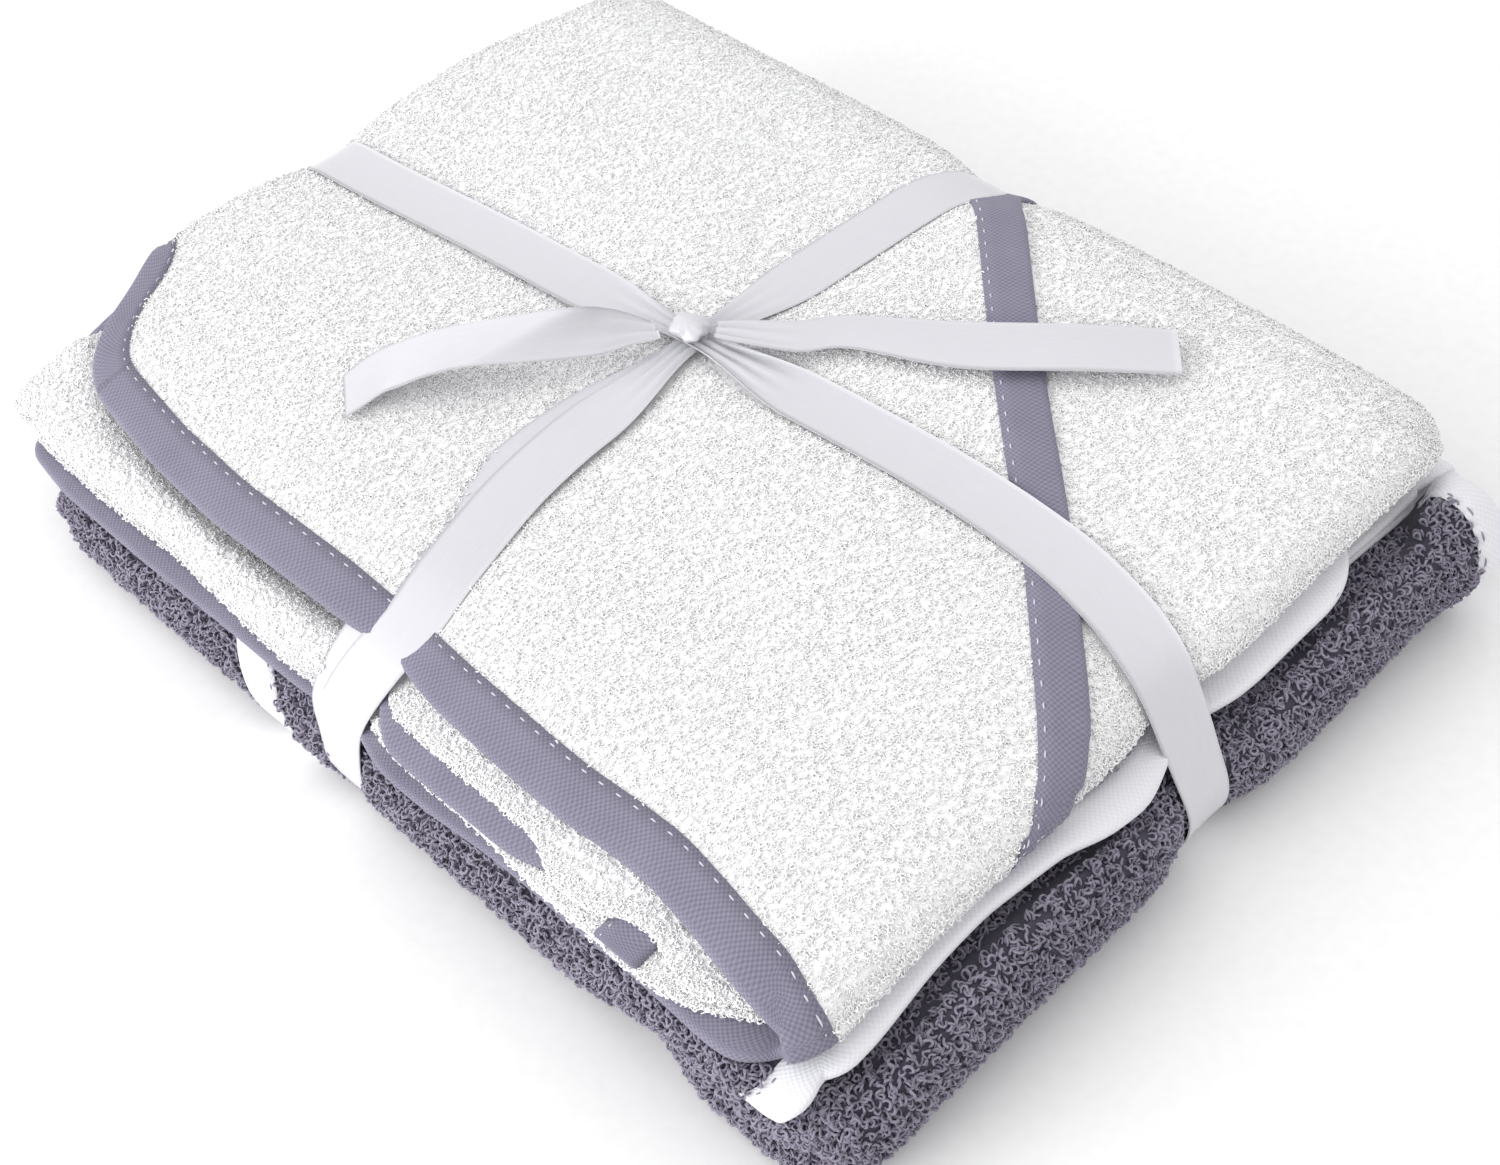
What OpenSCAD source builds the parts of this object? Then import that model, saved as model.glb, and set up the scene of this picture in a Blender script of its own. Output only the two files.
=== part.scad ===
// Two hooded towels, each folded into a flat pack, stacked and tied crosswise with a ribbon.
// Origin: centre of the stack's box, on the surface it rests on. +X runs along the long side,
// +Y across it, +Z up. The hood corner of the white towel is at -X -Y, the grey one's at +X +Y.

/* [Folded towels] */
// Length of each folded towel along X
fold_length = 275; // [260:1:300]
// Width of the folded white towel along Y
white_width = 217; // [210:1:226]
// Width of the folded grey towel along Y
grey_width = 228; // [228:1:240]
// Height of the folded white towel without its hood
white_height = 21.6; // [18:0.2:26]
// Height of the folded grey towel without its hood
grey_height = 19; // [17:0.2:24]
// Distance in X between the middles of the two towels
stack_shift = 16; // [10:1:20]
// Radius of the folded towel's corners seen from above
corner_r = 16; // [8:1:20]

/* [Hood and binding] */
// Thickness of the hood cloth
hood_thick = 1.4; // [1:0.1:2]
// Leg of the triangular hood, from the towel's corner along each edge
hood_leg = 355; // [320:1:360]
// Finished width of the bias binding
binding_width = 11; // [8:0.5:14]
// Thickness of the binding over the edge that it wraps
binding_thick = 2.1; // [1.8:0.1:2.4]
// How far the folded edge stands out past the bound free edge on the long side
long_setback = 14; // [10:1:18]
// How far the folded edge stands out past the bound free edge on the short side
short_setback = 5; // [5:1:8]
// Distance between the middles of two stitches
stitch_pitch = 6; // [5:0.5:9]
// Length of one stitch
stitch_length = 2.4; // [1.5:0.1:3]

/* [Ribbon] */
// Width of the satin ribbon
ribbon_width = 15; // [12:0.5:20]
// Thickness of the ribbon
ribbon_thick = 0.6; // [0.4:0.1:0.8]
// How far the tight ribbon pulls the towels' sides in
pinch = 5; // [3:0.5:7]
// Where the lengthwise ribbon goes round the sides, measured in Y
lengthwise_y = 4; // [-10:1:12]
// Where the crosswise ribbon goes round the sides, measured in X
crosswise_x = -3.5; // [-12:0.5:10]
// Length of the left loose end, from the knot
left_tail_length = 67; // [40:1:80]
// Direction of the left loose end, in degrees from +X
left_tail_angle = -121; // [-130:1:-112]
// Length of the right loose end, from the knot
right_tail_length = 98; // [60:1:110]
// Direction of the right loose end, in degrees from +X
right_tail_angle = 37; // [30:1:44]

/* [Hidden] */
gap = 0.25;                 // air between neighbouring pieces
cut = 1;                    // how far a cutting shape runs past what it cuts
fold_gap = 0.5;             // air between the three thirds of a folded towel
middle_share = 0.75;        // part of the fold length that the tucked-in third covers
side_r = 9;                 // roundness of a folded side
arc_steps = 6;              // straight steps in a quarter round
bound_corner_r = 22;        // radius of the towel's own bound corner
stitch_thick = 0.3;
stitch_depth = 0.8;
tail_thick = 0.5;
knot = [-16.5, 11.3];       // middle of the knot seen from above
knot_r = 6.2;
knot_height = 5;
leg_root_width = 8;         // width of a gathered ribbon where it goes into the knot
root_distance = 7;          // from the knot's middle to the hinge line of a loose end

grey_top = grey_height + gap + binding_thick + stitch_thick + gap;
white_base = grey_top + gap;
white_top = white_base + white_height;
ribbon_z = white_top + gap + binding_thick + stitch_thick + 2 * gap;
knot_z = ribbon_z + ribbon_thick;
tail_z = knot_z + 2 * gap;
box_l = fold_length + stack_shift;

// Outline tools

function quarter(centre, r, from) =
    [for (i = [0 : arc_steps]) centre + r * [cos(from + 90 * i / arc_steps), sin(from + 90 * i / arc_steps)]];

function rounded(low, high, r) = concat(
    quarter([high[0] - r, high[1] - r], r, 0),
    quarter([low[0] + r, high[1] - r], r, 90),
    quarter([low[0] + r, low[1] + r], r, 180),
    quarter([high[0] - r, low[1] + r], r, 270));

function unit(v) = v / norm(v);
function inward(a, b) = let (u = unit(b - a)) [-u[1], u[0]];
function inset_corner(a, b, c, d) =
    let (n = inward(a, b), m = inward(b, c)) b + d * (n + m) / (1 + n * m);
function inset(loop, d) =
    let (n = len(loop))
    [for (i = [0 : n - 1]) inset_corner(loop[(i + n - 1) % n], loop[i], loop[(i + 1) % n], d)];

// Extrudes an outline drawn in X and Z along Y, from low to high
module along_y(low, high) translate([0, high, 0]) rotate([90, 0, 0]) linear_extrude(high - low) children();

// Extrudes an outline drawn in Y and Z along X, from low to high
module along_x(low, high)
    translate([low, 0, 0]) rotate([90, 0, 90]) linear_extrude(high - low) children();

// Places a towel's pieces: white as drawn, grey turned half round, as it is stacked
module white_place() translate([-stack_shift / 2, 0, white_base]) children();
module grey_place() translate([stack_shift / 2, 0, 0]) rotate([0, 0, 180]) children();

// Ribbon paths round the stack's sides, as outlines of its two upright sections

function lengthwise_loop() = [
    [-box_l / 2 + stack_shift + pinch, 0],
    [box_l / 2 - pinch, 0],
    [box_l / 2 - pinch, grey_height],
    [box_l / 2 - stack_shift - pinch, white_top],
    [box_l / 2 - stack_shift - 2 * pinch, knot_z],
    [-box_l / 2 + 2 * pinch, knot_z],
    [-box_l / 2 + pinch, white_top],
    [-box_l / 2 + pinch, grey_height]];

function crosswise_loop() = [
    [-grey_width / 2 + pinch, 0],
    [grey_width / 2 - pinch, 0],
    [grey_width / 2 - pinch, grey_height],
    [white_width / 2 - pinch, white_top],
    [white_width / 2 - 2 * pinch, knot_z],
    [-white_width / 2 + 2 * pinch, knot_z],
    [-white_width / 2 + pinch, white_top],
    [-grey_width / 2 + pinch, grey_height]];

// Everything outside a ribbon's path, as wide as the ribbon: what the pinched towels give way to
module pinched_away(loop) {
    difference() {
        translate([-box_l, -cut]) square([2 * box_l, knot_z + 2 * cut]);
        polygon(inset(loop, ribbon_thick + gap));
    }
}

module ribbon_channels() {
    half = ribbon_width / 2 + gap;
    along_y(lengthwise_y - half, lengthwise_y + half) pinched_away(lengthwise_loop());
    along_x(crosswise_x - half, crosswise_x + half) pinched_away(crosswise_loop());
}

// One towel, folded in four across Y and then in three along X. Drawn with its hood corner at
// -X -Y, its open long side at -Y and its base on Z = 0

module letter_fold(height) {
    third = (height - 2 * fold_gap) / 3;
    bend = height / 2;
    tuck = 2 * third + fold_gap;
    reach = fold_length * middle_share;
    left = -fold_length / 2;
    right = fold_length / 2;
    difference() {
        polygon(rounded([left, 0], [right, height], bend - fold_gap));
        // slot under the top third, open at the left end
        translate([left - cut, tuck]) square([reach + cut, fold_gap]);
        // slot between the tucked-in third and the bottom third, closed at the left end
        translate([left + bend, third]) square([reach - bend, fold_gap]);
        // step down between the two slots, at the tucked-in third's free end
        translate([left + reach - fold_gap, third]) square([fold_gap, third + 2 * fold_gap]);
    }
}

module towel_body(width, height) {
    lower = binding_thick + 2 * gap;
    difference() {
        intersection() {
            along_y(-width / 2, width / 2) letter_fold(height);
            along_x(-fold_length, fold_length)
                polygon(rounded([-width / 2, 0], [width / 2, height], side_r));
            linear_extrude(height)
                polygon(rounded([-fold_length / 2, -width / 2], [fold_length / 2, width / 2], corner_r));
        }
        // room for the bound edge where it comes back along the bottom third
        translate([-fold_length, -width / 2 - cut, -cut])
            cube([2 * fold_length, long_setback + binding_width - side_r + cut, cut + lower + gap]);
        // room for the bound edge where it goes round the folded end
        translate([fold_length / 2 - binding_thick - gap, -width / 2 - cut, -cut])
            cube([fold_length, long_setback + binding_width + cut + gap, height + 2 * cut]);
    }
}

// The flat part of the top that the hood and its bindings lie on
module deck_outline(width, low_inset, high_inset) {
    polygon(rounded(
        [-fold_length / 2 + short_setback + low_inset, -width / 2 + long_setback + low_inset],
        [fold_length / 2 - side_r - high_inset, width / 2 - side_r - high_inset],
        bound_corner_r - low_inset));
}

// Half plane on the hood's side of a 45 degree line, dist along each leg from the bound corner
module hood_side(width, dist) {
    corner = [-fold_length / 2 + short_setback, -width / 2 + long_setback];
    polygon([corner - [dist, dist], corner + [3 * dist, -dist], corner + [dist, 0],
             corner + [0, dist], corner + [-dist, 3 * dist]]);
}

module hood_panel(width, height) {
    edge = hood_leg - (binding_width + gap) * sqrt(2);
    translate([0, 0, height + gap]) linear_extrude(hood_thick) intersection() {
        deck_outline(width, binding_width + gap, 0);
        hood_side(width, edge);
    }
}

module hood_band(width, height) {
    edge = hood_leg - binding_width * sqrt(2);
    translate([0, 0, height + gap]) linear_extrude(binding_thick) difference() {
        intersection() {
            deck_outline(width, binding_width + gap, 0);
            hood_side(width, hood_leg);
        }
        hood_side(width, edge);
    }
}

// The bound edge: along the short side, round the hood corner, along the long side, down over the
// folded end and back along the bottom third
module edge_band(width, height) {
    end_x = fold_length / 2;
    side_y = -width / 2 + long_setback;
    difference() {
        union() {
            translate([0, 0, height + gap]) linear_extrude(binding_thick) difference() {
                deck_outline(width, 0, -side_r + corner_r / 2);
                deck_outline(width, binding_width, -box_l);
                translate([end_x - side_r, -width]) square([fold_length, 2 * width]);
                translate([-fold_length, width / 2 - side_r]) square([2 * fold_length, width]);
            }
            translate([end_x - 2 * side_r, side_y, height + gap])
                cube([2 * side_r, binding_width, binding_thick]);
            along_x(end_x - binding_thick, end_x) polygon([
                [side_y - side_r, gap], [side_y - side_r + binding_width, gap],
                [side_y + binding_width, height + gap + binding_thick],
                [side_y, height + gap + binding_thick]]);
            translate([-end_x + corner_r, side_y - side_r, gap])
                cube([fold_length - corner_r, binding_width, binding_thick]);
        }
        // trims the band's width to the binding's on both straight legs
        translate([-end_x + short_setback + binding_width, side_y + binding_width, height])
            cube([fold_length, width, height]);
    }
}

module stitch_row(count) {
    for (i = [0 : count - 1]) translate([(i + 0.5) * stitch_pitch, 0, 0])
        translate([-stitch_length / 2, -stitch_depth / 2, 0])
            cube([stitch_length, stitch_depth, stitch_thick]);
}

module edge_stitches(width, height) {
    inner = binding_width - 1.5;
    corner = [-fold_length / 2 + short_setback, -width / 2 + long_setback];
    long_run = fold_length - short_setback - bound_corner_r - side_r;
    short_run = width - long_setback - bound_corner_r - side_r;
    translate([corner[0] + bound_corner_r, corner[1] + inner, height + gap + binding_thick])
        stitch_row(floor(long_run / stitch_pitch));
    translate([corner[0] + inner, corner[1] + bound_corner_r, height + gap + binding_thick])
        rotate([0, 0, 90]) stitch_row(floor(short_run / stitch_pitch));
}

module hood_stitches(width, height) {
    leg = hood_leg - (binding_width - 1.5) * sqrt(2);
    corner = [-fold_length / 2 + short_setback, -width / 2 + long_setback];
    // the seam's two ends, where its line meets the deck's far edges
    from = fold_length / 2 - side_r - corner[0] - corner_r / 2;
    to = leg - (width / 2 - side_r - corner[1] - corner_r / 2);
    translate([corner[0] + from, corner[1] + leg - from, height + gap + binding_thick])
        rotate([0, 0, 135]) stitch_row(floor((from - to) * sqrt(2) / stitch_pitch));
}

// The ribbon: sides and underside in two loops, and four legs across the top to the knot

module ribbon_sides(loop, low, high) {
    difference() {
        polygon(loop);
        polygon(inset(loop, ribbon_thick));
        translate([low, ribbon_z - ribbon_thick]) square([high - low, box_l]);
    }
}

module top_leg(start, across) {
    half = ribbon_width / 2 * across;
    root = leg_root_width / 2 * across;
    spread = knot + (start - knot) * 0.3;
    linear_extrude(ribbon_thick)
        polygon([start - half, start + half, spread + half, knot + root, knot - root, spread - half]);
}

module ribbon_legs() {
    x_low = lengthwise_loop()[5][0];
    x_high = lengthwise_loop()[4][0];
    y_low = crosswise_loop()[5][0];
    y_high = crosswise_loop()[4][0];
    translate([0, 0, ribbon_z]) {
        top_leg([x_low, lengthwise_y], [0, 1]);
        top_leg([x_high, lengthwise_y], [0, -1]);
        top_leg([crosswise_x, y_low], [-1, 0]);
        top_leg([crosswise_x, y_high], [1, 0]);
    }
}

// A loose end: a strip from its hinge line beside the knot, with the tip cut off square
module loose_end(length, angle) {
    translate([knot[0], knot[1], tail_z]) rotate([0, 0, angle]) translate([root_distance, 0, 0])
        linear_extrude(tail_thick)
            polygon([[gap, -leg_root_width / 2], [length / 4, -ribbon_width / 2],
                     [length, -ribbon_width / 2], [length, ribbon_width / 2],
                     [length / 4, ribbon_width / 2], [gap, leg_root_width / 2]]);
}

module white_towel() color("whitesmoke") difference() {
    white_place() towel_body(white_width, white_height);
    ribbon_channels();
}
module white_hood() color("white") white_place() hood_panel(white_width, white_height);
module white_edge_binding() color("slategray") difference() {
    white_place() edge_band(white_width, white_height);
    ribbon_channels();
}
module white_hood_binding() color("slategray") white_place() hood_band(white_width, white_height);
module white_edge_stitching() color("gainsboro") difference() {
    white_place() edge_stitches(white_width, white_height);
    ribbon_channels();
}
module white_hood_stitching() color("gainsboro") white_place() hood_stitches(white_width, white_height);

module grey_towel() color("dimgray") difference() {
    grey_place() towel_body(grey_width, grey_height);
    ribbon_channels();
}
module grey_hood() color("dimgray") difference() {
    grey_place() hood_panel(grey_width, grey_height);
    ribbon_channels();
}
module grey_edge_binding() color("lavender") difference() {
    grey_place() edge_band(grey_width, grey_height);
    ribbon_channels();
}
module grey_hood_binding() color("lavender") difference() {
    grey_place() hood_band(grey_width, grey_height);
    ribbon_channels();
}
module grey_edge_stitching() color("slategray") difference() {
    grey_place() edge_stitches(grey_width, grey_height);
    ribbon_channels();
}
module grey_hood_stitching() color("slategray") difference() {
    grey_place() hood_stitches(grey_width, grey_height);
    ribbon_channels();
}

module ribbon_wrap() color("ghostwhite") {
    half = ribbon_width / 2;
    along_y(lengthwise_y - half, lengthwise_y + half)
        ribbon_sides(lengthwise_loop(), lengthwise_loop()[5][0], lengthwise_loop()[4][0]);
    along_x(crosswise_x - half, crosswise_x + half)
        ribbon_sides(crosswise_loop(), crosswise_loop()[5][0], crosswise_loop()[4][0]);
    ribbon_legs();
}

module ribbon_knot() color("white")
    translate([knot[0], knot[1], knot_z]) hull() {
        cylinder(h = knot_height / 2, r1 = knot_r * 0.8, r2 = knot_r, $fn = 32);
        cylinder(h = knot_height, r = knot_r * 0.55, $fn = 32);
    }

module ribbon_tail_left() color("white") loose_end(left_tail_length, left_tail_angle);
module ribbon_tail_right() color("white") loose_end(right_tail_length, right_tail_angle);

white_towel();
white_hood();
white_edge_binding();
white_hood_binding();
white_edge_stitching();
white_hood_stitching();
grey_towel();
grey_hood();
grey_edge_binding();
grey_hood_binding();
grey_edge_stitching();
grey_hood_stitching();
ribbon_wrap();
ribbon_knot();
ribbon_tail_left();
ribbon_tail_right();
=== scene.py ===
"""Two hooded terry towels, each folded flat, stacked and tied crosswise with a satin ribbon.

Each towel is one square sheet (u, v), folded by a formula: in four across Y, then in three along X.
Its binding, hood, stitches and loops are laid on that same folded sheet. Lengths are millimetres in
the row frame, and make_mesh turns them into metres.
"""
import math
from functools import partial

import bpy
import numpy as np
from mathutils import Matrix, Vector
from mathutils.bvhtree import BVHTree


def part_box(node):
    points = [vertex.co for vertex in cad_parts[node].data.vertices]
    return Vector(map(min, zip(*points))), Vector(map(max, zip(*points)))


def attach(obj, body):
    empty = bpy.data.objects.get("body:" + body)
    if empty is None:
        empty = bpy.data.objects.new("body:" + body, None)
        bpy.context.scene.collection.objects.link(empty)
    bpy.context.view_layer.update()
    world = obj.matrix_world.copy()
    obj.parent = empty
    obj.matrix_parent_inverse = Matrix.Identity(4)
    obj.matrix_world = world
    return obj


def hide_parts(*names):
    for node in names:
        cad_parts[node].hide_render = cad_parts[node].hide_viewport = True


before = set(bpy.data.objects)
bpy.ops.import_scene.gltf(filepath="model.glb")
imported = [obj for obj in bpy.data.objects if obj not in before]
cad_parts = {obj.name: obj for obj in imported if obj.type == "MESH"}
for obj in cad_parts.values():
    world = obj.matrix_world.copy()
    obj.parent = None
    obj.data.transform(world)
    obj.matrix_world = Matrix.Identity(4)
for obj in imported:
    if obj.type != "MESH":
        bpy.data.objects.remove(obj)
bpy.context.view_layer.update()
MM = 0.001

# ---- sizes

SIDE = 800.0          # cut side of each square towel
CORNER = 24.0         # radius of its four corners
CLOTH = 0.9           # thickness of the ground cloth, without loops
HOOD_LEG = 350.0      # leg of the hood triangle
HOOD_LIFT = 1.05      # middle of the hood cloth above the middle of the towel's
TAPE = 11.0           # finished width of the bias binding
TAPE_THICK = 0.35
TUCK = 1.0            # the cloth's edge lies this far inside the binding's
STITCH_PITCH = 4.8
LIP = 13.0            # how much of the white towel's free end hangs over its end
LIP_BEND = 3.0        # how softly it bends down
RIBBON = 15.0         # width of the ribbon
SATIN = 0.24          # its thickness
GATHERED = 6.0        # its width where it goes into the knot
LAYERS = 12           # layers of cloth in each folded towel

# the faces of the towel's binding and of the hood's, over the middle of the towel's cloth
EDGE_TOP = 1.15
EDGE_TOP_ON_HOOD = 0.85   # this much more where the hood lies between
EDGE_UNDER = -1.1
HOOD_TAPE_TOP = 2.1
HOOD_TAPE_UNDER = 0.5
NOSE = 1.3            # its rounded fold starts this far in from its outside
HOOD_TAPE_START = 14.0    # the hood's binding starts here on its edge, and its stitches
HOOD_STITCH_START = 24.0
EDGE_RINGS = 1500     # cross-sections along each towel's binding and each hood's
HOOD_RINGS = 260

# each stitch: half its length, its thread's radius, its place inside the tape, its ends' depth
STITCH_HALF = 0.95
THREAD = 0.2
STITCH_INSET = 1.4
STITCH_SINK = 0.25
STITCH_ROWS = 5
STITCH_SIDES = 5
YARN_SIDES = 3        # sides of a loop's yarn
RIBBON_COLUMNS = 13   # points across the ribbon
TAIL_ROWS = 70        # points along a loose end


def node_box(name):
    """Lowest and highest corner of a CAD node, in millimetres"""
    low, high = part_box(name)
    return np.array(low) / MM, np.array(high) / MM


# ---- small tools


def ramp(x, low, high):
    """0 below low, 1 above high, smooth between"""
    t = np.clip((x - low) / (high - low), 0.0, 1.0)
    return t * t * (3.0 - 2.0 * t)


def hump(x, middle, width):
    """1 at the middle, fading to 0 on both sides"""
    return np.exp(-(((x - middle) / width) ** 2))


def line_of(points, soften=7.0):
    """A smooth function through chosen (place, value) points"""
    places, values = zip(*points)
    grid = np.arange(-220.0, 420.0, 1.0)
    reach = np.arange(-3.0 * soften, 3.0 * soften + 1.0)
    kernel = np.exp(-((reach / soften) ** 2))
    kernel /= kernel.sum()
    raw = np.pad(np.interp(grid, places, values), len(reach) // 2, mode="edge")
    smooth = np.convolve(raw, kernel, "valid")
    return partial(np.interp, xp=grid[: len(smooth)], fp=smooth)


def waves(x, y, size, seed):
    """Soft, irregular swell between about -1 and 1"""
    draw = np.random.default_rng(seed)
    total = np.zeros(np.broadcast(x, y).shape)
    for _ in range(5):
        turn = draw.uniform(0.0, math.pi)
        phase = draw.uniform(0.0, 2.0 * math.pi)
        step = size * draw.uniform(0.7, 1.5)
        total += np.sin((x * math.cos(turn) + y * math.sin(turn)) * 2.0 * math.pi / step + phase)
    return total / 2.6


def unit(v):
    """Vectors scaled to length 1"""
    return v / np.maximum(np.linalg.norm(v, axis=-1, keepdims=True), 1e-9)


# ---- where the ribbon runs

KNOT = np.array([-16.5, 11.3, 48.0])
# Y of the lengthwise ribbon's middle along X, and X of the crosswise ribbon's middle along Y
LENGTHWISE = line_of([(-146, 2), (-126, 3), (-82, 7), (-50, 9), (-16, 11.5), (7, 14), (27, 15.5),
                      (53, 17), (74, 17), (92, 16), (112, 12), (128, 6), (146, 3)])
CROSSWISE = line_of([(-115, -4), (-104, -3.5), (-96, -1), (-88, 0), (-76, -4), (-62, -8), (-48, -12),
                     (-30, -14.5), (-8, -15), (11, -16.5), (34, -14), (54, -13), (76, -12), (92, -11),
                     (104, -6), (114, -4)])
# for each turn of the ribbon: the axis it runs along, the other axis, and its middle line
TURNS = ((0, 1, LENGTHWISE), (1, 0, CROSSWISE))
BROAD_HOLLOW = 24.0   # half widths of the hollow that the ribbon presses, and of its channel
CHANNEL = 9.0
PINCH_REACH = 34.0    # how far in from an edge the ribbon pulls it in, and half how wide
PINCH_WIDTH = 13.0


def off_ribbon(x, y):
    """Distances from the middles of the lengthwise and the crosswise ribbon"""
    return y - LENGTHWISE(x), x - CROSSWISE(y)


def groove(x, y, wide, narrow):
    """How far the tight ribbon presses a face down: a broad hollow and a narrow channel"""
    along, across = off_ribbon(x, y)
    off = np.minimum(np.abs(along), np.abs(across))
    return wide * hump(off, 0, BROAD_HOLLOW) + narrow * hump(off, 0, CHANNEL)


# ---- the stack's surfaces


def between(x, y):
    """Height of the face between the two towels. Each is thinner past its tucked-in third."""
    face = 25.0 + 7.0 * np.tanh(x / 85.0)
    face = face + ramp(x, 60, 135) * (1.2 - 5.0 * hump(y, 18, 30)) + 0.3 * waves(x, y, 90, 3)
    return face - 4.0 * ramp(x, 80, 130) * ramp(-y, 60, 100)


def droop(distance, reach, amount):
    """How far a face sinks towards an edge at that distance"""
    return amount * np.clip(1.0 - distance / reach, 0.0, 1.4) ** 2


class Towel:
    """One towel folded in four across Y and then in three along X.

    Its own frame has its hood corner low in x and y. Along u: the top third, round the far end, the
    bottom third, round the near end, the middle third. Across v: layer a, the outer crease, layer d,
    the open side's crease, layer c, the inner crease, layer b. q counts the 12 layers from the top.
    """

    turn_high = 7.0       # how far the turn at the far end starts from the end
    turn_low = 9.0        # the same at the near end
    far_round = 28.0      # cloth that goes round the far turn, and round the near one
    near_round = 30.0
    free_start = 5.0      # x where the free end's cloth is reckoned from
    nest = 0.08           # how much less each deeper layer's turn reaches
    skew = 0.0            # how far the hanging side slips along x
    set_back = 0.0        # how far the free end's lower layers lie behind its top one
    inner_step = 3.0      # how far the inner crease lies inside the outer one
    inner_puff = 4.0      # how far it bulges
    layer_gap = 1.9       # weight of the distance between two layers
    skin_gap = 0.7        # the same between an outermost layer and the towel's face

    def __init__(self, name, turned):
        self.name = name
        low, high = node_box(name + "_towel")
        self.size = high - low
        self.sign = -1.0 if turned else 1.0
        self.origin = high[:2] if turned else low[:2]
        length = self.size[0]
        self.far_turn = length - self.turn_high
        top_third = self.far_turn - self.free_start
        self.u = np.cumsum([top_third, self.far_round, self.far_turn - self.turn_low, self.near_round])
        self.reach = length * self.middle_share

    # -- along the towel

    def along(self, u, v, kappa):
        """x, how far round each of the two turns a point is, and how far the lip drops it"""
        u1, u2, u3, u4 = self.u
        # y before the edges get their shapes, which is near enough to look the ends up
        rough_y = np.interp(v, (0, *self.v), (12, 209, 209, 8, 8, 206, 206, 38))
        creased = ramp(rough_y, 150, 205)
        free = self.free_end_x(rough_y)
        behind = (1 - creased) * ramp(kappa, 0.2, 1.0) + creased * ramp(kappa, 0.2, 2.8)
        free = free + self.set_back * behind
        outermost = 1 - (1 - creased) * ramp(kappa, 0.0, 0.5) - creased * ramp(kappa, 0.0, 2.5)
        lip = self.lip(rough_y) * outermost
        full = np.maximum(lip, 1e-6) / LIP
        bend = u - lip
        ahead = (1 - full) * u + full * (bend + np.sqrt(bend**2 + LIP_BEND**2)) / 2
        drop = np.where(u <= u1, full * (np.sqrt(bend**2 + LIP_BEND**2) - bend) / 2, 0.0)
        first = np.clip((u - u1) / (u2 - u1), 0, 1)
        second = np.clip((u - u3) / (u4 - u3), 0, 1)
        nest = 1.0 - self.nest * kappa
        middle = self.turn_low + (u - u4) * (self.reach - self.turn_low) / (SIDE - u4)
        stretch = (self.far_turn - free) / (u1 - full * lip)
        round_far = self.far_turn + self.turn_high * nest * np.sin(np.pi * first)
        x = np.where(u <= u1, free + ahead * stretch, round_far)
        x = np.where(u > u2, self.far_turn - (u - u2), x)
        bulge = (self.turn_low - self.near_x(rough_y)) * nest * np.sin(np.pi * second)
        x = np.where(u > u3, self.turn_low - bulge, x)
        x = np.where(u > u4, middle, x)
        return x, (1 - np.cos(np.pi * first)) / 2, (1 - np.cos(np.pi * second)) / 2, drop

    # -- across the towel

    def across(self, v):
        """Which layer (0 a to 3 d), and shares of each run and crease"""
        b = self.v
        share = [np.clip((v - p) / (q - p), 0, 1) for p, q in zip((0, *b[:-1]), b)]
        outer = (1 - np.cos(np.pi * share[1])) / 2
        side = (1 - np.cos(np.pi * share[3])) / 2
        inner = (1 - np.cos(np.pi * share[5])) / 2
        return 3 * outer - side - inner, share

    def sheet(self, u, v):
        """A point of the folded sheet's middle surface"""
        u, v = np.broadcast_arrays(np.asarray(u, float), np.asarray(v, float))
        kappa, share = self.across(v)
        x, down, back, drop = self.along(u, v, kappa)
        x = x + self.skew * (1 - down) * hump(x, 175, 55) * ramp(v, self.v[0] - 30, self.v[0] - 4)
        edge, far, near, inner_edge = self.lines(x, down, back)
        length_a = np.where(v < 0, v, share[0] * self.v[0])
        y = edge + (far - edge) * length_a / self.v[0]
        step = self.inner_step
        y = y + (near - far) * share[2] + (far - step - near) * share[4]
        y = y + (inner_edge - far + step) * share[6]
        y = y + np.where(v > SIDE, SIDE - v, 0)
        y = y + self.outer_puff * np.sin(np.pi * share[1])
        y = y - self.puff(x, down, back) * np.sin(np.pi * share[3])
        y = y + self.inner_puff * np.sin(np.pi * share[5])
        q = kappa + (11 - 2 * kappa) * down + (2 * kappa - 7) * back
        z = self.height(np.clip(x, -6, self.far_turn + 2), y, q, kappa, down, back)
        return self.place(x, y, z - drop)

    def lip(self, y):
        """How much of the free end's top layer hangs over the end"""
        return np.zeros(np.shape(y))

    def height(self, x, y, q, kappa, down, back):
        """Each layer's share of the space between the towel's two faces, turned into z"""
        gap = np.full((LAYERS + 1,) + x.shape, self.layer_gap)
        gap[0] = self.skin_gap
        gap[LAYERS] = self.skin_gap
        # the gaps between the middle third's layers close up past its end
        gap[4:9] *= 1 - 0.8 * ramp(x, self.reach - 12, self.reach + 6)
        near_side = 1 - ramp(y, 6, 40)
        for layer, roll in self.rolls.items():
            gap[layer] += roll(x) * near_side
        gap[1:5] *= 1 + (self.free_end - 1) * (1 - ramp(x, 5, 40))
        depth = np.cumsum(gap, axis=0)
        i = np.clip(np.floor(q).astype(int), 0, LAYERS - 2)
        upper = np.take_along_axis(depth, i[None], 0)[0]
        lower = np.take_along_axis(depth, i[None] + 1, 0)[0]
        share = (upper + (lower - upper) * (q - i)) / depth[LAYERS]
        top, base = self.faces(x, y)
        return self.drape(x, y, top - (top - base) * share, kappa, down, back)

    def drape(self, x, y, z, kappa, down, back):
        return z

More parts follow.
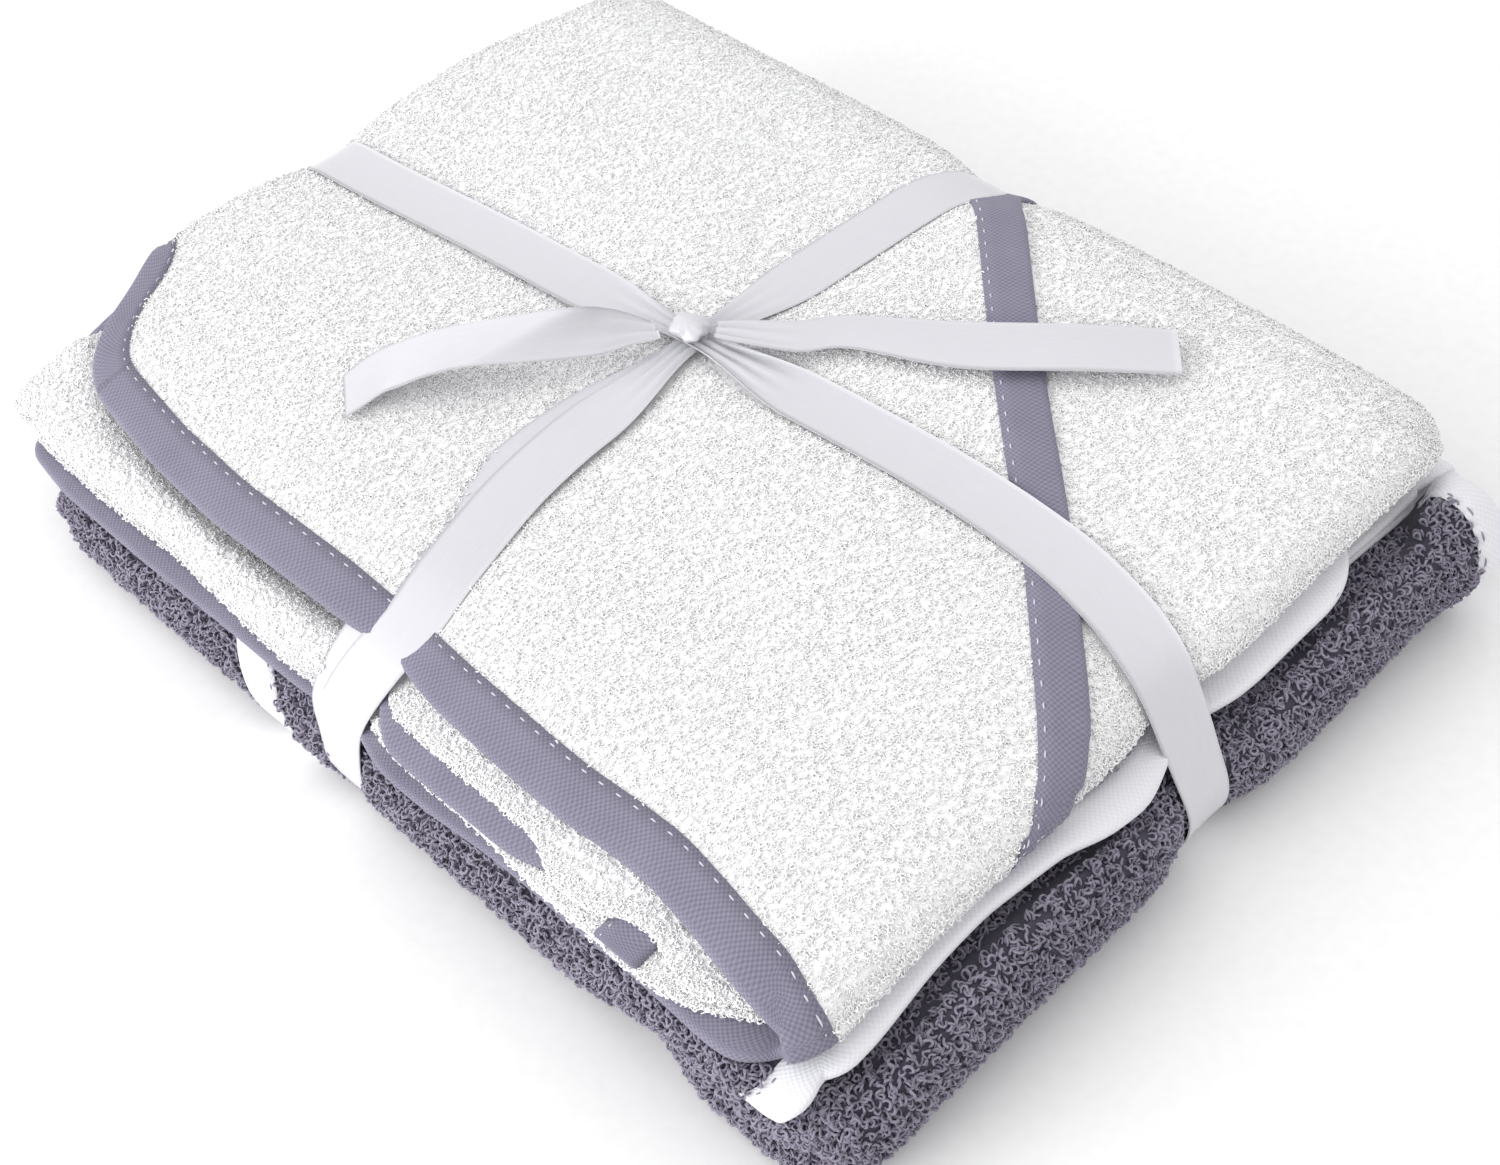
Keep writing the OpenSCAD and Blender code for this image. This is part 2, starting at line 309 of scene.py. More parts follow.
    def place(self, x, y, z):
        """Rounds the corners seen from above, pulls the sides in at the ribbon, moves to the row frame"""
        half = self.size[:2] / 2
        cx, cy = x - half[0], y - half[1]
        radius = self.corner
        dx = np.abs(cx) - (half[0] - radius)
        dy = np.abs(cy) - (half[1] - radius)
        both = (dx > 0) & (dy > 0)
        scale = np.where(both, np.maximum(dx, dy) / np.maximum(np.hypot(dx, dy), 1e-6), 1.0)
        cx = np.where(both, np.sign(cx) * (half[0] - radius + dx * scale), cx)
        cy = np.where(both, np.sign(cy) * (half[1] - radius + dy * scale), cy)
        wx = self.origin[0] + self.sign * (half[0] + cx)
        wy = self.origin[1] + self.sign * (half[1] + cy)
        along, across = off_ribbon(wx, wy)
        to_end = ramp(np.abs(cx), half[0] - PINCH_REACH, half[0] - 2)
        to_side = ramp(np.abs(cy), half[1] - PINCH_REACH, half[1] - 2)
        wx = wx - np.sign(wx) * self.pinch * to_end * hump(along, 0, PINCH_WIDTH)
        wy = wy - np.sign(wy) * self.side_pinch * to_side * hump(across, 0, PINCH_WIDTH)
        return np.stack([wx, wy, z], -1)

    def normal(self, u, v):
        """Outward normal of the sheet's hood-side face"""
        h = 0.6
        du = self.sheet(u + h, v) - self.sheet(u - h, v)
        dv = self.sheet(u, v + h) - self.sheet(u, v - h)
        return unit(np.cross(du, dv))


class WhiteTowel(Towel):
    """The upper towel. Its open long side is at -Y and its turned end at +X."""

    v = np.array([195.0, 213.0, 411.0, 431.0, 622.0, 632.0, 800.0])
    corner = 15.0
    pinch = 3.5           # how far the tight ribbon pulls the ends in, and the sides
    side_pinch = 3.5
    outer_puff = 8.0
    set_back = 12.0
    free_end = 0.6
    middle_share = 0.865
    # the bound edge along the open side: on the top, the bottom and the middle third
    top_edge = line_of([(5, 29), (9, 27.6), (20, 21), (33, 17), (60, 13.2), (85, 11.8),
                        (124, 13), (152, 11.8), (170, 10.8), (190, 10), (204, 9.9),
                        (217, 10.8), (229, 11), (244, 8.7), (253, 7), (262, 6.1),
                        (268, 3.5), (275, 2)], 4.0)
    bottom_edge = line_of([(0, 5.8), (15, 3), (30, 0.9), (63, 0.5), (98, 1), (120, 0.7),
                           (137, -1.2), (160, -3.1), (177, -3), (195, -1.8), (241, -1.8),
                           (258, -2.1), (265, -1), (270, 1.8)], 4.0)
    middle_edge = line_of([(0, 58), (20, 50), (60, 34), (132, 24), (146, 6), (158, -0.3),
                           (200, -0.3), (212, 3), (228, 3), (245, 4)], 4.0)
    # how far in the open side's crease lies, on the top third and on the others
    upper_tip = line_of([(0, 34), (20, 26), (60, 18), (134, 17), (152, 6), (203, 5.5),
                         (212, 1), (224, 1.5), (230, 5.5), (240, 5.5), (246, 2), (253, 3),
                         (262, 9), (275, 9)], 3.0)
    lower_tip = line_of([(0, 7.5), (15, 6.8), (38, 5.7), (76, 6.3), (93, 4.8), (123, 3),
                         (150, 1.7), (180, 1), (194, 0.3), (211, -1), (236, -1.3),
                         (245, -0.9), (253, 1.5), (262, 8), (275, 9)], 4.0)
    # the gaps between layers that swell into fat rolls, by how much along x
    rolls = {2: line_of([(0, 0), (135, 0), (155, 3), (205, 3), (215, 6), (250, 6), (275, 2)]),
             6: line_of([(0, 12), (130, 12), (150, 2), (205, 1), (275, 0)]),
             8: line_of([(0, 0), (205, 0), (215, 3), (250, 3), (275, 0)])}

    def free_end_x(self, y):
        return 8.0 - 11.5 * ramp(y, 24, 50) + 8.0 * ramp(y, 150, 216)

    def near_x(self, y):
        return -3.0 + 5.5 * ramp(y, 34, 54)

    def lip(self, y):
        return LIP * ramp(y, 34, 56)

    def lines(self, x, down, back):
        width = self.size[1]
        edge = (self.top_edge(x) * (1 - down) + self.bottom_edge(x) * (down - back)
                + self.middle_edge(x) * back)
        far = np.full(x.shape, width - 8.0) - 1.5 * back
        near = self.upper_tip(x) * (1 - down) + self.lower_tip(x) * down + self.puff(x, down, back)
        return edge, far, near, 38.0 + 24.0 * (1 - ramp(x, 2, 45))

    def puff(self, x, down, back):
        return 4.0 + 2.5 * down * (1 - ramp(x, 120, 160))

    def faces(self, x, y):
        wx = self.origin[0] + x
        wy = self.origin[1] + y
        length, width = self.size[:2]
        top = 44.6 + 0.7 * waves(wx, wy, 120, 5) - groove(wx, wy, 1.3, 1.0)
        top = top - droop(y, 45, 9.5 - 3.5 * ramp(x, 195, 260)) - droop(width - y, 22, 4.0)
        top = top - droop(length - x, 36, 4.5)
        base = between(wx, wy) + 0.6
        return top, base

    def drape(self, x, y, z, kappa, down, back):
        """The middle third's roll rises beside the top third's edge"""
        edge = self.top_edge(x)
        rise = (1 - ramp(y, edge - 2, edge + 8)) * (1 - ramp(x, 128, 150))
        return z + 5.5 * rise * back * np.clip(3 - kappa, 0, 1)


class GreyTowel(Towel):
    """The lower towel, turned half round: open side at +Y, turned end at -X, hood corner at +X +Y."""

    v = np.array([168.0, 198.0, 398.0, 412.0, 606.0, 616.0, 800.0])
    corner = 21.0
    pinch = 5.5
    side_pinch = 0.5
    outer_puff = 8.0
    skew = 9.0
    set_back = 7.0
    free_end = 0.72
    middle_share = 0.75
    rolls = {3: line_of([(0, 3), (275, 3)])}
    end_line = line_of([(0, 10), (28, 10), (52, 11), (78, 11.5), (88, 10), (96, 7.5),
                        (110, 6.5), (124, 8), (134, 11), (157, 13), (176, 12.5),
                        (194, 11), (224, 11)], 3.0)

    def free_end_x(self, y):
        return self.end_line(y)

    def near_x(self, y):
        return 2.5 - 5.0 * (1 - ramp(y, 16, 36))

    def hangs(self, x):
        """Where the top third's closed side hangs down over the rest, to the floor"""
        return ramp(x, 35, 80) * (1 - ramp(x, 255, 268))

    def lines(self, x, down, back):
        width = self.size[1]
        edge = 40.0 * (1 - down) + 8.0 * down
        far = width - 13.0 - 12.0 * self.hangs(x) * down
        near = 4.0 + self.puff(x, down, back) + 2.0 * down
        return edge, far, near, np.full(x.shape, 46.0)

    def puff(self, x, down, back):
        return np.full(x.shape, 7.0)

    def faces(self, x, y):
        wx = self.origin[0] - x
        wy = self.origin[1] - y
        length, width = self.size[:2]
        top = between(wx, wy) - 0.6
        top = top - droop(y, 25, 4.0) - droop(width - y, 25, 4.0)
        top = top - droop(length - x, 25, 3.0) - droop(x, 20, 1.0)
        base = 1.6 + 0.8 * groove(wx, wy, 0.0, 1.0)
        return top, base

    def drape(self, x, y, z, kappa, down, back):
        """The closed side hangs to the floor, and the turned end bulges up in front of the free end"""
        near_side = ramp(y, self.size[1] - 30, self.size[1] - 9)
        low = self.hangs(x) * near_side * (1 - down) * kappa / 3
        z = z + (3.0 - z) * low
        open_corner = 1 - ramp(y, 20, 38)
        room = self.end_line(y) - 2.0 + 8.0 * open_corner
        rise = back * (1 - ramp(x, room - 4, room + 1)) * np.clip(1.6 - 0.4 * kappa, 0, 1)
        return z + (5.0 + 5.0 * open_corner) * rise * (1 - ramp(y, 198, 212))


# ---- meshes


def make_mesh(name, points, faces, material, cloth=None):
    """A mesh object from millimetre points and quads, facing outwards.

    cloth gives each point's own place on the flat cloth, for the weave.
    """
    a, b, c, d = (points[faces[:, i]] for i in range(4))
    volume = np.einsum("ij,ij->i", a, np.cross(b, c)).sum()
    volume += np.einsum("ij,ij->i", a, np.cross(c, d)).sum()
    if volume < 0:
        faces = faces[:, ::-1]
    mesh = bpy.data.meshes.new(name)
    mesh.vertices.add(len(points))
    mesh.vertices.foreach_set("co", (points * MM).astype(np.float32).ravel())
    mesh.loops.add(faces.size)
    mesh.loops.foreach_set("vertex_index", np.ascontiguousarray(faces, np.int32).ravel())
    mesh.polygons.add(len(faces))
    mesh.polygons.foreach_set("loop_start", np.arange(0, faces.size, 4, dtype=np.int32))
    mesh.polygons.foreach_set("use_smooth", np.ones(len(faces), bool))
    if cloth is not None:
        layer = mesh.attributes.new("cloth", "FLOAT_VECTOR", "POINT")
        layer.data.foreach_set("vector", cloth.astype(np.float32).ravel())
    mesh.update(calc_edges=True)
    mesh.materials.append(material)
    piece = bpy.data.objects.new(name, mesh)
    bpy.context.scene.collection.objects.link(piece)
    return piece


def grid_faces(rows, columns, close_rows=False, close_columns=False):
    """Quads of a grid of points, row by row, which may close on itself"""
    r = np.arange(rows if close_rows else rows - 1)
    c = np.arange(columns if close_columns else columns - 1)
    r, c = np.meshgrid(r, c, indexing="ij")
    r2, c2 = (r + 1) % rows, (c + 1) % columns
    faces = np.stack([r * columns + c, r2 * columns + c, r2 * columns + c2, r * columns + c2], -1)
    return faces.reshape(-1, 4)


def copies(rows, sides, count):
    """Quads of count separate tubes of rows rings, each ring with that many sides"""
    one = grid_faces(rows, sides, close_columns=True)
    return (one[None] + rows * sides * np.arange(count)[:, None, None]).reshape(-1, 4)


def grid_normal(points):
    """Unit normals of a grid of points"""
    return unit(np.cross(np.gradient(points, axis=0), np.gradient(points, axis=1)))


def run_along(points):
    """How far along a line of points each of them is"""
    return np.concatenate([[0], np.cumsum(np.linalg.norm(np.diff(points, axis=0), axis=1))])


def points_of(piece):
    """A piece's points, in millimetres"""
    co = np.empty(len(piece.data.vertices) * 3, np.float32)
    piece.data.vertices.foreach_get("co", co)
    return co.reshape(-1, 3) / MM


def shell(middle, normal, thick):
    """A closed cloth of that thickness round a grid of points"""
    rows, columns = middle.shape[:2]
    up = (middle + normal * thick / 2).reshape(-1, 3)
    under = (middle - normal * thick / 2).reshape(-1, 3)
    count = rows * columns
    faces = grid_faces(rows, columns)
    index = np.arange(count).reshape(rows, columns)
    rim = np.concatenate([index[0, :-1], index[:-1, -1], index[-1, :0:-1], index[:0:-1, 0]])
    after = np.roll(rim, -1)
    wall = np.stack([rim, rim + count, after + count, after], -1)
    return np.concatenate([up, under]), np.concatenate([faces[:, ::-1], faces + count, wall[:, ::-1]])


def steps(breaks, counts):
    """Places between breaks, count of them in each stretch"""
    runs = [np.linspace(a, b, n, endpoint=False) for a, b, n in zip(breaks[:-1], breaks[1:], counts)]
    return np.concatenate([*runs, [breaks[-1]]])


def corner_cut(u):
    """How far the rounded corners cut into v at that u"""
    e = np.clip(CORNER - np.minimum(u, SIDE - u), 0, CORNER)
    return CORNER - np.sqrt(np.maximum(CORNER**2 - e**2, 0))


def cloth_piece(towel, material):
    u = steps([TUCK, 10, 30, *towel.u, SIDE - TUCK], [8, 10, 54, 14, 58, 14, 44])
    v = steps([0, *towel.v], [46, 12, 44, 12, 40, 8, 38])
    v = TUCK + v * (SIDE - 2 * TUCK) / SIDE
    u, v = np.meshgrid(u, v, indexing="ij")
    v = corner_cut(u) + v * (SIDE - 2 * corner_cut(u)) / SIDE
    points, faces = shell(towel.sheet(u, v), towel.normal(u, v), CLOTH)
    return make_mesh(towel.name + "_terry_cloth", points, faces, material)


def hood_piece(towel, material):
    u = np.linspace(TUCK, HOOD_LEG - 3 * TUCK, 110)[:, None]
    t = np.linspace(0, 1, 110)[None, :]
    low = corner_cut(u) + TUCK
    v = low + t * np.maximum(HOOD_LEG - TUCK - u - low, 0.5)
    u = np.broadcast_to(u, v.shape)
    normal = towel.normal(u, v)
    points, faces = shell(towel.sheet(u, v) + normal * HOOD_LIFT, normal, CLOTH)
    return make_mesh(towel.name + "_hood_cloth", points, faces, material)


# -- bias binding

EDGE_LENGTH = 4 * (SIDE - 2 * CORNER) + 2 * math.pi * CORNER
HOOD_EDGE = HOOD_LEG * math.sqrt(2)


def on_edge(s, inward):
    """(u, v) at distance s round the towel's bound edge, and inward from it"""
    straight = SIDE - 2 * CORNER
    arc = math.pi * CORNER / 2
    s = np.mod(s, EDGE_LENGTH)
    side = np.floor(s / (straight + arc))
    t = s - side * (straight + arc)
    angle = np.clip((t - straight) / CORNER, 0, math.pi / 2)
    x = CORNER + np.minimum(t, straight) - SIDE / 2 + (CORNER - inward) * np.sin(angle)
    y = -SIDE / 2 + CORNER - (CORNER - inward) * np.cos(angle)
    turn = side * math.pi / 2
    u = x * np.cos(turn) - y * np.sin(turn) + SIDE / 2
    v = x * np.sin(turn) + y * np.cos(turn) + SIDE / 2
    return u, v


def on_hood(s, inward):
    """(u, v) at distance s along the hood's long edge, and inward from it"""
    u = HOOD_LEG - s / math.sqrt(2) - inward / math.sqrt(2)
    v = s / math.sqrt(2) - inward / math.sqrt(2)
    return u, v


def hooded(u, v):
    """1 where the hood lies on the towel, 0 elsewhere"""
    return 1 - ramp(u + v, HOOD_LEG - 8, HOOD_LEG + 4)


def edge_heights(u, v):
    """Height of the binding's upper and lower face over the sheet's middle"""
    return EDGE_TOP + EDGE_TOP_ON_HOOD * hooded(u, v), np.full(np.shape(u), EDGE_UNDER)


def hood_heights(u, v):
    """The same for the hood's own binding"""
    return np.full(np.shape(u), HOOD_TAPE_TOP), np.full(np.shape(u), HOOD_TAPE_UNDER)


def tape_ring(towel, on_line, heights, s, inset):
    """Cross-sections of the binding folded round an edge, all along it. inset 0 is its outside."""
    nose = np.linspace(math.pi / 2, 3 * math.pi / 2, 7)
    flat = np.array([TAPE, 7.5, 4.0])
    inward = np.concatenate([flat, inset + (NOSE - inset / 2) * (1 + np.cos(nose)), flat[::-1]])
    lift = np.concatenate([np.ones(3), np.sin(nose), -np.ones(3)])
    s, inward = np.meshgrid(s, inward, indexing="ij")
    u, v = on_line(s, inward)
    high, low = heights(u, v)
    offset = (high + low) / 2 + lift * ((high - low) / 2 - inset)
    run = np.cumsum(np.abs(np.gradient(inward[0])) + np.abs(np.gradient(lift)))
    weave = np.stack([s, np.broadcast_to(run, s.shape), np.zeros(s.shape)], -1)
    return towel.sheet(u, v) + towel.normal(u, v) * offset[..., None], weave


def tape_piece(name, towel, on_line, heights, s, closed, material):
    outside, weave = tape_ring(towel, on_line, heights, s, 0.0)
    inside, _ = tape_ring(towel, on_line, heights, s, TAPE_THICK)
    rings = np.concatenate([outside, inside[:, ::-1]], 1)
    weave = np.concatenate([weave, weave[:, ::-1]], 1)
    rows, columns = rings.shape[:2]
    faces = grid_faces(rows, columns, close_rows=closed, close_columns=True)
    if not closed:
        i = np.arange(columns // 2 - 1)
        cap = np.stack([i, i + 1, columns - 2 - i, columns - 1 - i], -1)
        faces = np.concatenate([faces, cap, cap[:, ::-1] + (rows - 1) * columns])
    return make_mesh(name, rings.reshape(-1, 3), faces, material, weave.reshape(-1, 3))


def stitch_piece(name, towel, on_line, heights, start, end, sides, material):
    """Short raised dashes of thread near the binding's inner edge"""
    places = np.arange(start, end, STITCH_PITCH)
    t = np.linspace(-1, 1, STITCH_ROWS)
    ring = np.arange(STITCH_SIDES) * 2 * math.pi / STITCH_SIDES
    thick = THREAD * np.sqrt(1 - 0.9 * t**2)
    points = []
    for side in sides:
        s = places[:, None, None] + STITCH_HALF * t[None, :, None] + np.zeros(STITCH_SIDES)
        inward = TAPE - STITCH_INSET + np.cos(ring) * thick[:, None] + np.zeros(s.shape)
        u, v = on_line(s, inward)
        high, low = heights(u, v)
        face = high if side > 0 else low
        lift = face + side * (0.02 + np.sin(ring) * thick[:, None])
        sunk = side * STITCH_SINK * np.abs(t[None, :, None]) ** 3
        offset = lift - sunk
        points.append(towel.sheet(u, v) + towel.normal(u, v) * offset[..., None])
    points = np.concatenate(points)
    faces = copies(STITCH_ROWS, STITCH_SIDES, len(points))
    return make_mesh(name, points.reshape(-1, 3), faces, material)


# ---- terry loops


def tree_of(pieces):
    """A ray tree of several pieces, in millimetres"""
    points, faces, count = [], [], 0
    for piece in pieces:
        index = np.empty(len(piece.data.loops), np.int32)
        piece.data.loops.foreach_get("vertex_index", index)
        points.append(points_of(piece))
        faces.append(index.reshape(-1, 4) + count)
        count += len(points[-1])
    return BVHTree.FromPolygons(np.concatenate(points).tolist(), np.concatenate(faces).tolist())


RAY_START = 0.25      # rays start this far off the cloth, so that they miss it
CLOTH_ROOM = 0.8      # free height that a loop needs under other cloth
RIBBON_ROOM = 2.6     # and under the ribbon, so that no loop pierces it
# lines of sight tried from each place: straight out, upwards, leaning four ways, and nearly flat
SIGHT_LEANS = ((0, 0, 0), (0, 0, 1.2), (1.5, 0, 0.5), (-1.5, 0, 0.5), (0, 1.5, 0.5), (0, -1.5, 0.5),
               (4.0, 0, 0), (-4.0, 0, 0), (0, 4.0, 0), (0, -4.0, 0))


def open_to_sight(tree, ribbon_tree, points, normals):
    """Which points have room for a loop and can be seen from outside"""
    leans = [Vector(lean) for lean in SIGHT_LEANS]
    seen = np.zeros(len(points), bool)
    for i, (p, n) in enumerate(zip(points, normals)):
        faces_floor = n[2] < -0.55 and p[2] < 3.0
        if faces_floor:
            continue
        start, out = Vector(p), Vector(n)
        start += out * RAY_START
        if tree.ray_cast(start, out, CLOTH_ROOM)[0] is not None:
            continue
        if ribbon_tree.ray_cast(start, out, RIBBON_ROOM)[0] is not None:
            continue
        for lean in leans:
            way = (out + lean).normalized()
            if out.dot(way) > 0.1 and tree.ray_cast(start, way)[0] is None:
                seen[i] = True
                break
    return seen


CELL = 4.0            # side of the cells that the cloth's stretch is worked out in
JITTER = 0.42         # how far a loop may stand off its grid place, as a share of the pitch
LOOPS_FROM = TAPE + 0.1   # the first loops stand this far in from a bound edge


def area_of(towel):
    """Real area of each cell of the folded sheet over its flat area"""
    middle = np.arange(CELL / 2, SIDE, CELL)
    u, v = np.meshgrid(middle, middle, indexing="ij")
    du = (towel.sheet(u + 1, v) - towel.sheet(u - 1, v)) / 2
    dv = (towel.sheet(u, v + 1) - towel.sheet(u, v - 1)) / 2
    return np.linalg.norm(np.cross(du, dv), axis=-1)


def loop_anchors(towel, pitch, seed, tree, ribbon_tree):
    """Places and outward normals for loops on what shows of the towel"""
    area = area_of(towel)
    draw = np.random.default_rng(seed)
    count = int(SIDE / pitch)
    u, v = np.meshgrid((np.arange(count) + 0.5) * pitch, (np.arange(count) + 0.5) * pitch, indexing="ij")
    found = []
    # one pass over each face, then two more that only add loops where the cloth is stretched
    for face, turn in ((1.0, 0), (-1.0, 0), (1.0, 1), (-1.0, 1), (1.0, 2), (-1.0, 2)):
        a = u.ravel() + draw.uniform(-JITTER, JITTER, u.size) * pitch
        b = v.ravel() + draw.uniform(-JITTER, JITTER, u.size) * pitch
        row, column = ((np.clip(place, 0, SIDE - 1) / CELL).astype(int) for place in (a, b))
        local = area[row, column]
        cut = corner_cut(a)
        inset = np.minimum(np.minimum(a, SIDE - a), np.minimum(b - cut, SIDE - cut - b))
        diagonal = (HOOD_LEG - a - b) / math.sqrt(2)
        keep = (inset > LOOPS_FROM) & (draw.uniform(size=a.size) < np.where(turn, local - turn, 1.0))
        if face > 0:
            keep &= (diagonal < -0.5) | (diagonal > LOOPS_FROM)
        a, b, diagonal = a[keep], b[keep], diagonal[keep]
        normal = towel.normal(a, b) * face
        lift = CLOTH / 2 + np.where((diagonal > 0) & (face > 0), HOOD_LIFT, 0.0)
        place = towel.sheet(a, b) + normal * lift[:, None]
        seen = open_to_sight(tree, ribbon_tree, place, normal)
        found.append([x[seen] for x in (place, normal)])
    return [np.concatenate(parts) for parts in zip(*found)]


def loops_of(place, normal, height, width, yarn, segments, lean, seed):
    """Rings of yarn standing on the cloth, each leaning and turned its own way.

    height, width and yarn are millimetres, and lean is the least and most tilt in radians.
    """
    draw = np.random.default_rng(seed)
    count = len(place)
    rough = draw.normal(size=(count, 3))
    tangent = unit(rough - normal * np.einsum("ij,ij->i", rough, normal)[:, None])
    tilt = draw.uniform(lean[0], lean[1], count)[:, None]
    side = unit(np.cross(normal, tangent))
    up = unit(normal * np.cos(tilt) + side * np.sin(tilt))
    out = unit(np.cross(tangent, up))
    size = draw.uniform(0.8, 1.2, count)[:, None, None]
    turn = np.linspace(0.11, 0.89, segments + 1) * 2 * math.pi
    twist = draw.uniform(-0.35, 0.35, count)[:, None, None] * width
    radial = (tangent[:, None] * np.sin(turn)[None, :, None] * width / 2
              - up[:, None] * np.cos(turn)[None, :, None] * height / 2)
    centre = radial + up[:, None] * height / 2 + out[:, None] * np.sin(2 * turn)[None, :, None] * twist
    ray = unit(radial)
    ring = np.arange(YARN_SIDES) * 2 * math.pi / YARN_SIDES
    tube = (ray[:, :, None] * np.cos(ring)[None, None, :, None]
            + out[:, None, None] * np.sin(ring)[None, None, :, None]) * yarn / 2
    points = place[:, None, None] - up[:, None, None] * 0.1 + (centre[:, :, None] + tube) * size[..., None]
    return points.reshape(-1, 3), copies(segments + 1, YARN_SIDES, count)


def pile_pieces(towel, anchors, material, slot, per_piece, **loop):
    """The loops in several pieces, side by side, each small enough to export whole"""
    place, normal = anchors
    order = np.argsort(place[:, 0], kind="stable")
    made = []
    for number, part in enumerate(np.array_split(order, math.ceil(len(order) / per_piece)), 1):
        points, faces = loops_of(place[part], normal[part], seed=70 + number, **loop)
        piece = make_mesh(f"{towel.name}_pile_{number}", points, faces, material)
        made.append(finish_piece(piece, "stack", slot))
    return made


# ---- ribbon


def hull_of(points):
    """Convex outline of 2D points, counter-clockwise"""
    points = points[np.lexsort((points[:, 1], points[:, 0]))]

    def chain(run):
        line = []
        for p in run:
            while len(line) > 1 and np.cross(line[-1] - line[-2], p - line[-1]) <= 0:
                line.pop()
            line.append(p)
        return line[:-1]

    return np.array(chain(points) + chain(points[::-1]))


def taut_loop(cloths, side_on):
    """The tight ribbon's outline round the stack, as (place along its run, height) points"""
    run, other, line = TURNS[side_on]
    near = []
    for piece in cloths:
        p = points_of(piece)
        close = np.abs(p[:, other] - line(p[:, run])) < RIBBON / 2 - 1
        near.append(p[close][:, [run, 2]])
    outline = hull_of(np.concatenate(near))
    closed = np.concatenate([outline, outline[:1]])
    share = run_along(closed)
    s = np.linspace(0, share[-1], int(share[-1] / 1.5), endpoint=False)
    loop = np.stack([np.interp(s, share, closed[:, i]) for i in (0, 1)], -1)
    for _ in range(6):
        loop = (np.roll(loop, 1, 0) + 2 * loop + np.roll(loop, -1, 0)) / 4
    tangent = unit(np.roll(loop, -1, 0) - np.roll(loop, 1, 0))
    # 0.3 mm clear of the cloth under the stack, and 2 mm over the loops elsewhere
    clear = 0.3 + 1.7 * ramp(loop[:, 1], 1.5, 8)
    loop = loop + np.stack([tangent[:, 1], -tangent[:, 0]], -1) * clear[:, None]
    loop[:, 1] = np.maximum(loop[:, 1], SATIN / 2)
    return loop


def strip(name, low_edge, high_edge, bow):
    """A ribbon between two edge lines. bow gives its rise, across it from -1 to 1."""
    t = np.linspace(0, 1, RIBBON_COLUMNS)[None, :, None]
    middle = low_edge[:, None] * (1 - t) + high_edge[:, None] * t
    raised = bow(np.linspace(-1, 1, RIBBON_COLUMNS)[None, :])
    middle = middle + grid_normal(middle) * raised[..., None]
    points, faces = shell(middle, grid_normal(middle), SATIN)
    length = run_along(middle[:, RIBBON_COLUMNS // 2])
    weave = np.stack(np.broadcast_arrays(length[:, None], t[..., 0] * RIBBON, 0.0), -1)
    weave = weave.reshape(-1, 3)
    return make_mesh(name, points, faces, SATIN_RIBBON, np.concatenate([weave, weave]))


# ---- materials


def material_of(name, color, roughness, sheen=0.0):
    """A new node material and its shader"""
    made = bpy.data.materials.new(name)
    made.use_nodes = True
    shader = made.node_tree.nodes["Principled BSDF"]
    shader.inputs["Base Color"].default_value = (*color, 1)
    shader.inputs["Roughness"].default_value = roughness
    shader.inputs["Specular IOR Level"].default_value = 0.25
    if sheen:
        shader.inputs["Sheen Weight"].default_value = sheen
        shader.inputs["Sheen Roughness"].default_value = 0.5
    return made, shader


def add(made, kind, **values):
    node = made.node_tree.nodes.new(kind)
    for key, value in values.items():
        if key in node.inputs:
            node.inputs[key].default_value = value
        else:
            setattr(node, key, value)
    return node


def join(made, source, target):
    made.node_tree.links.new(source, target)


def noise_over(made, scale, detail, place=None):
    """Noise over the object's coordinates, or over the place given"""
    if place is None:
        place = add(made, "ShaderNodeTexCoord").outputs["Object"]
    noise = add(made, "ShaderNodeTexNoise", Scale=scale, Detail=detail)
    join(made, place, noise.inputs["Vector"])
    return noise.outputs["Fac"]


def on_cloth(made, scale):
    """The mesh's own cloth coordinates, in millimetres, times scale"""
    cloth = add(made, "ShaderNodeAttribute", attribute_name="cloth")
    scaled = add(made, "ShaderNodeMapping", Scale=scale)
    join(made, cloth.outputs["Vector"], scaled.inputs["Vector"])
    return scaled.outputs["Vector"]


def worked_out(made, operation, *terms):
    """The result of a maths node on sockets and plain numbers"""
    node = add(made, "ShaderNodeMath", operation=operation)
    for term, socket in zip(terms, node.inputs):
        if isinstance(term, float):
            socket.default_value = term
        else:
            join(made, term, socket)
    return node.outputs[0]


def shade(made, shader, dark, light, share):
    """Colour that goes from dark to light with share"""
    mix = add(made, "ShaderNodeMix", data_type="RGBA")
    mix.inputs[6].default_value = (*dark, 1)
    mix.inputs[7].default_value = (*light, 1)
    join(made, share, mix.inputs[0])
    join(made, mix.outputs[2], shader.inputs["Base Color"])


def raise_by(made, shader, height, strength, distance):
    """Relief from a height, distance deep in metres"""
    relief = add(made, "ShaderNodeBump", Strength=strength, Distance=distance)
    join(made, height, relief.inputs["Height"])
    join(made, relief.outputs["Normal"], shader.inputs["Normal"])


def terry(name, dark, light, bump):
    """Yarn: shades that drift over the towel, and fine relief"""
    made, shader = material_of(name, light, 0.95, 0.25)
    shade(made, shader, dark, light, noise_over(made, 60.0, 4.0))
    raise_by(made, shader, noise_over(made, 1600.0, 3.0), bump, 0.0004)
    return made


